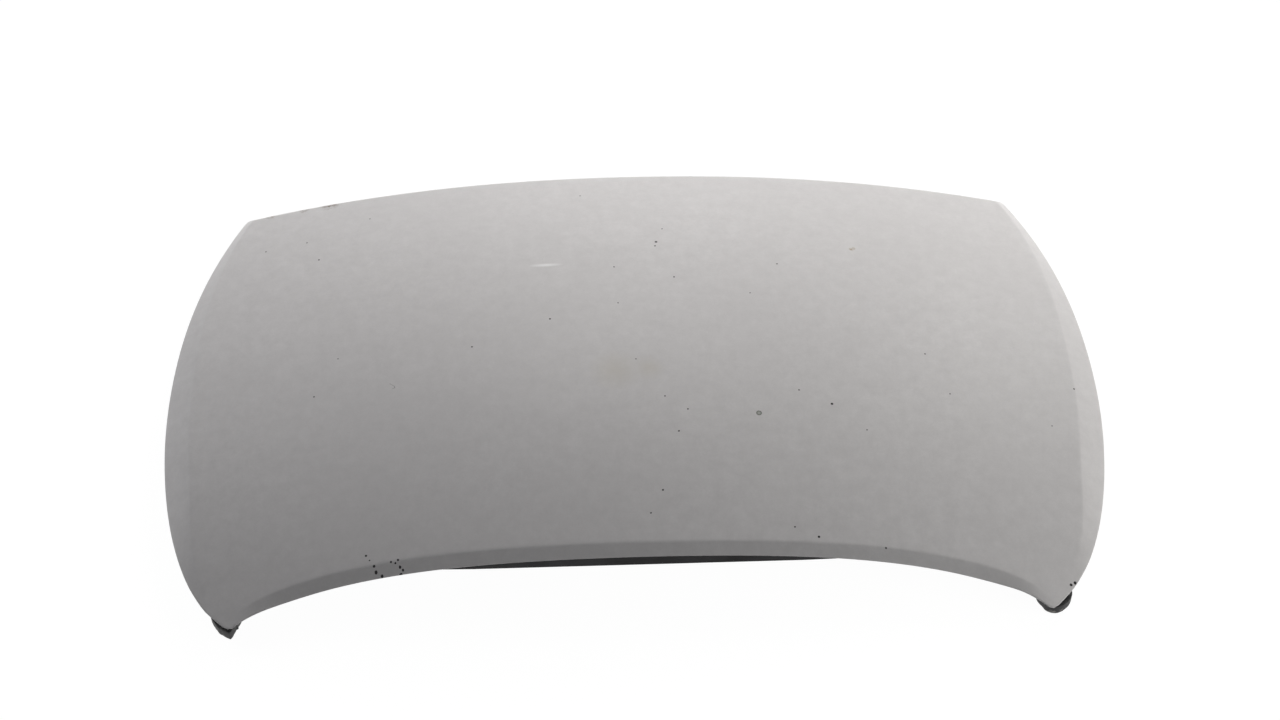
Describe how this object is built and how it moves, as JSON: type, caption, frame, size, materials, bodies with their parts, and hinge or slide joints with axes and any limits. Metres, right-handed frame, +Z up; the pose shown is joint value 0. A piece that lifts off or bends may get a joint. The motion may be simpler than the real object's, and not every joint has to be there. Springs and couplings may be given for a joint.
{
  "type": "car bonnet",
  "caption": "Light grey painted steel car bonnet lying skin side up, with its pressed inner frame, latch striker, hinge seats and rubber corner pads.",
  "frame": {"origin": "centre of the bonnet's outline in plan, on the level of the surface that it lies on", "axes": "+Y towards the nose edge, +X across the bonnet to its right as seen from the windscreen edge, +Z up, out of the painted skin"},
  "size_m": [1.4124, 0.8788, 0.129],
  "materials": {
    "body_paint": "glossy light grey car paint with small stone chips",
    "inner_paint": "dull dark grey underside paint",
    "plain_steel": "dull",
    "zinc_plate": "satin zinc plate",
    "black_rubber": "matt",
    "black_plastic": "satin",
    "sealant": "matt"
  },
  "bodies": {
    "root": {"outer_skin": "body_paint", "inner_frame": "inner_paint", "striker_plate": "zinc_plate", "striker_reinforcement": "plain_steel", "striker_nut_left": "zinc_plate", "striker_nut_right": "zinc_plate", "striker_bolt_left": "zinc_plate", "striker_bolt_right": "zinc_plate", "striker_loop": "zinc_plate", "hinge_reinforcement_left": "plain_steel", "hinge_reinforcement_right": "plain_steel", "hinge_nut_left_inner": "zinc_plate", "hinge_nut_left_outer": "zinc_plate", "hinge_nut_right_inner": "zinc_plate", "hinge_nut_right_outer": "zinc_plate", "front_buffer_left": "black_rubber", "front_buffer_right": "black_rubber", "rear_corner_pad_left": "black_rubber", "rear_corner_pad_right": "black_rubber", "prop_rod_bush": "black_plastic", "sealant_pad_01": "sealant", "sealant_pad_02": "sealant", "sealant_pad_03": "sealant", "sealant_pad_04": "sealant", "sealant_pad_05": "sealant", "sealant_pad_06": "sealant", "sealant_pad_07": "sealant", "sealant_pad_08": "sealant", "sealant_pad_09": "sealant", "sealant_pad_10": "sealant", "sealant_pad_11": "sealant", "sealant_pad_12": "sealant"}
  },
  "joints": []
}
